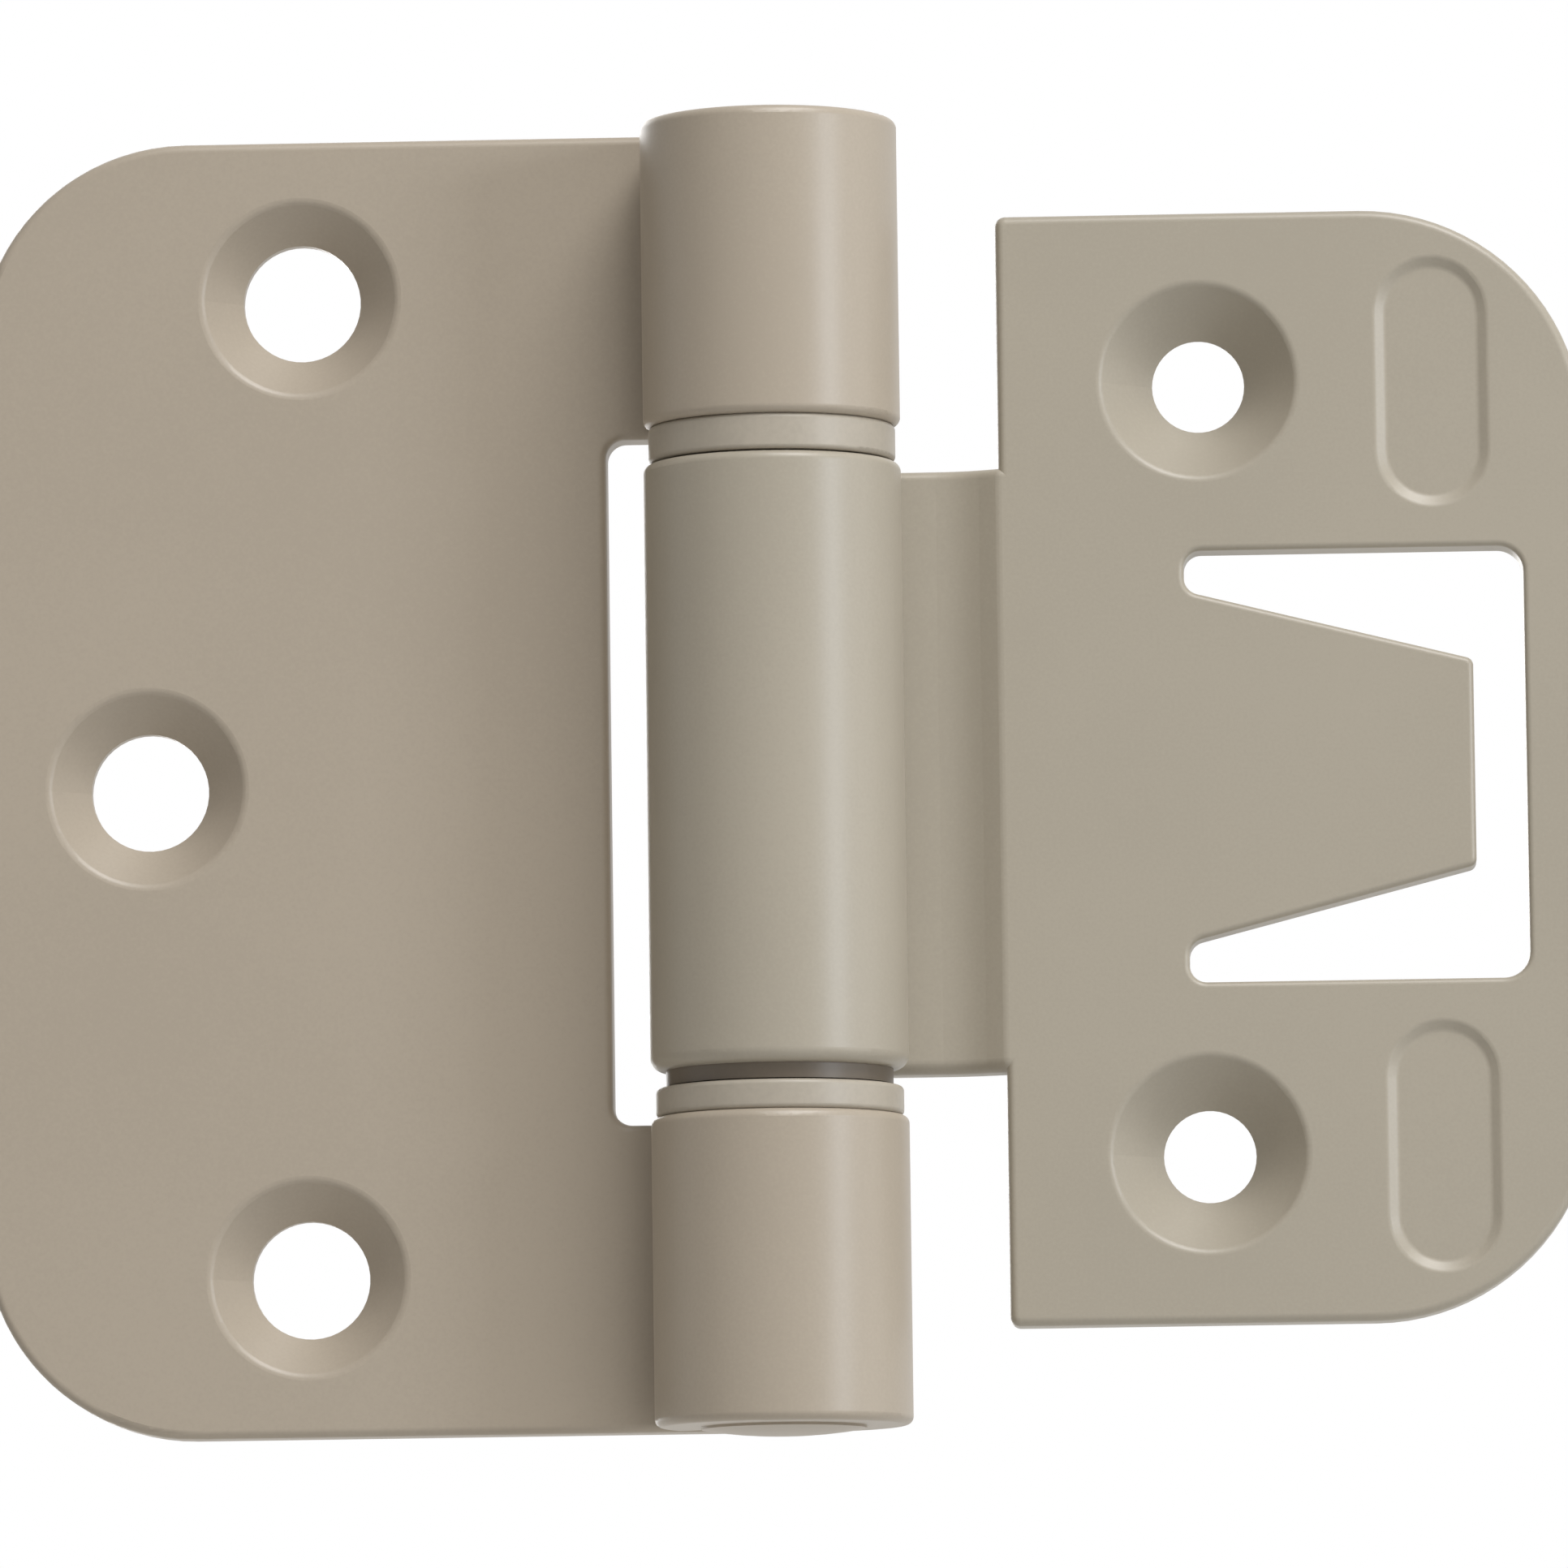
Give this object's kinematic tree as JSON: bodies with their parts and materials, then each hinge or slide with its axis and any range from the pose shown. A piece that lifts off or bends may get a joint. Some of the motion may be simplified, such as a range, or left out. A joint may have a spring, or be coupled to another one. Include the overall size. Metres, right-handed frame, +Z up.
{
  "type": "butt hinge",
  "caption": "Painted butt hinge, open flat: radius-corner frame leaf, joggled door leaf with a tongue window, rolled knuckles on an upright pin.",
  "frame": {"origin": "middle of the pin, on its axis, at half the height of the frame leaf", "axes": "+Z up along the pin, +X towards the door leaf, -X towards the frame leaf, +Y towards the backs of the leaves; screws go in from -Y"},
  "size_m": [0.0941, 0.015, 0.0772],
  "materials": {
    "leaf_paint": "satin taupe paint on steel",
    "cap_paint": "satin taupe paint on steel",
    "bush_plastic": "moulded, in the colour of the paint",
    "sleeve_plastic": "moulded, dark brown",
    "pin_steel": "drawn bar, plated"
  },
  "bodies": {
    "frame_side": {"frame_leaf": "leaf_paint", "hinge_pin": "pin_steel", "upper_bush": "bush_plastic", "lower_bush": "bush_plastic", "upper_cap": "cap_paint", "lower_cap": "cap_paint"},
    "door_side": {"door_leaf": "leaf_paint", "middle_sleeve": "sleeve_plastic"}
  },
  "joints": [
    {"name": "leaf_swing", "type": "hinge", "parent": "frame_side", "child": "door_side", "pos_m": [0, 0, 0], "axis": [0, 0, 1], "range_deg": [-180, 100]}
  ]
}
